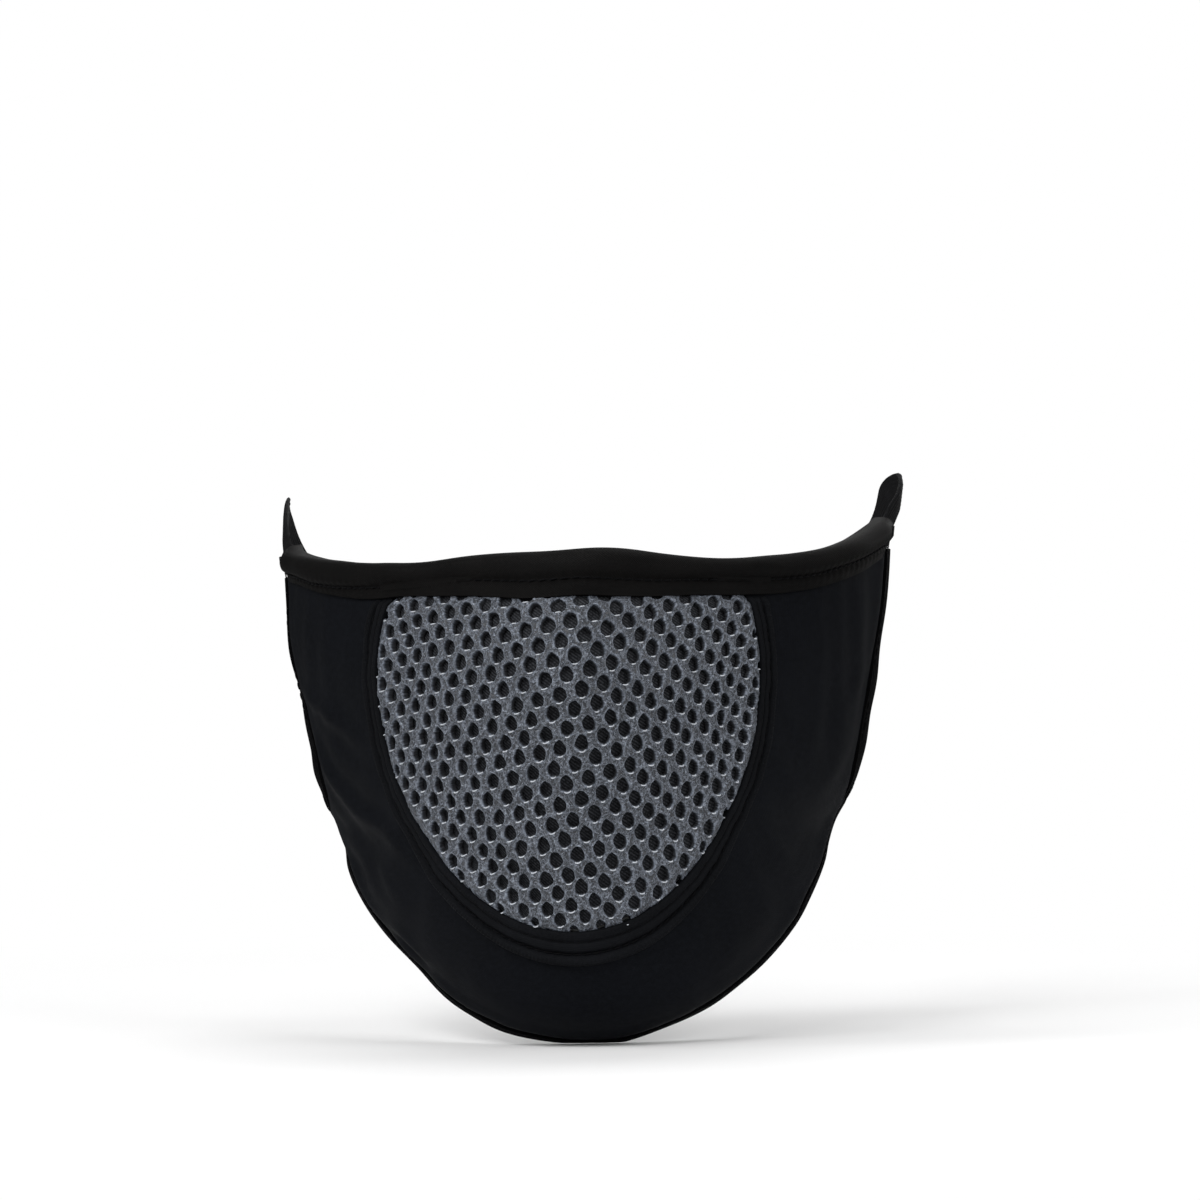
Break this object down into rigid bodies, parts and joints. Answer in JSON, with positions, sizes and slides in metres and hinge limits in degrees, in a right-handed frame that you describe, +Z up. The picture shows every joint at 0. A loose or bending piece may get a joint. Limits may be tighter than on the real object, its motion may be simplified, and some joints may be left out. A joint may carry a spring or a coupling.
{
  "type": "sports face mask",
  "caption": "Shaped fabric face mask with an open air-mesh front panel, bound top edge with a nose wire, hemmed wings and elastic ear loops that swing.",
  "frame": {"origin": "bottom centre of the whole mask's box with the loops at rest: on the face's midline, at the level the chin hem rests on", "axes": "+Z up, -Y the way the wearer looks, +X towards the wearer's left"},
  "size_m": [0.1568, 0.1466, 0.1352],
  "materials": {
    "shell_knit": "smooth black sports knit",
    "air_mesh": "grey three-dimensional air mesh",
    "backing_knit": "matt black knit",
    "filter_felt": "white non-woven felt",
    "lining_knit": "soft dark knit",
    "seam_tape": "ribbed black coverstitched tape",
    "binding_twill": "black twill tape",
    "sewing_thread": "black polyester thread",
    "strap_elastic": "black flat elastic",
    "nose_wire": "soft annealed strip"
  },
  "bodies": {
    "mask": {"outer_shell": "shell_knit", "mesh_panel": "air_mesh", "mesh_backing": "backing_knit", "filter_layer": "filter_felt", "inner_lining": "lining_knit", "panel_seam_tape": "seam_tape", "seam_thread_inner": "sewing_thread", "seam_thread_outer": "sewing_thread", "top_binding": "binding_twill", "top_binding_thread": "sewing_thread", "nose_wire": "nose_wire", "hem_binding": "binding_twill", "hem_thread": "sewing_thread", "side_hem_left": "shell_knit", "side_hem_right": "shell_knit", "side_hem_thread_left": "sewing_thread", "side_hem_thread_right": "sewing_thread", "strap_end_upper_left": "strap_elastic", "strap_end_upper_right": "strap_elastic", "strap_end_lower_left": "strap_elastic", "strap_end_lower_right": "strap_elastic", "bartack_upper_left": "sewing_thread", "bartack_upper_right": "sewing_thread", "bartack_lower_left": "sewing_thread", "bartack_lower_right": "sewing_thread"},
    "left_loop": {"ear_loop_left": "strap_elastic"},
    "right_loop": {"ear_loop_right": "strap_elastic"}
  },
  "joints": [
    {"name": "left_ear_loop_swing", "type": "hinge", "parent": "mask", "child": "left_loop", "pos_m": [0.06783, 0.02934, 0.08946], "axis": [-0.1979, -0.1146, -0.9735], "range_deg": [-75, 70]},
    {"name": "right_ear_loop_swing", "type": "hinge", "parent": "mask", "child": "right_loop", "pos_m": [-0.06783, 0.02934, 0.08946], "axis": [-0.1979, 0.1146, 0.9735], "range_deg": [-75, 70]}
  ]
}
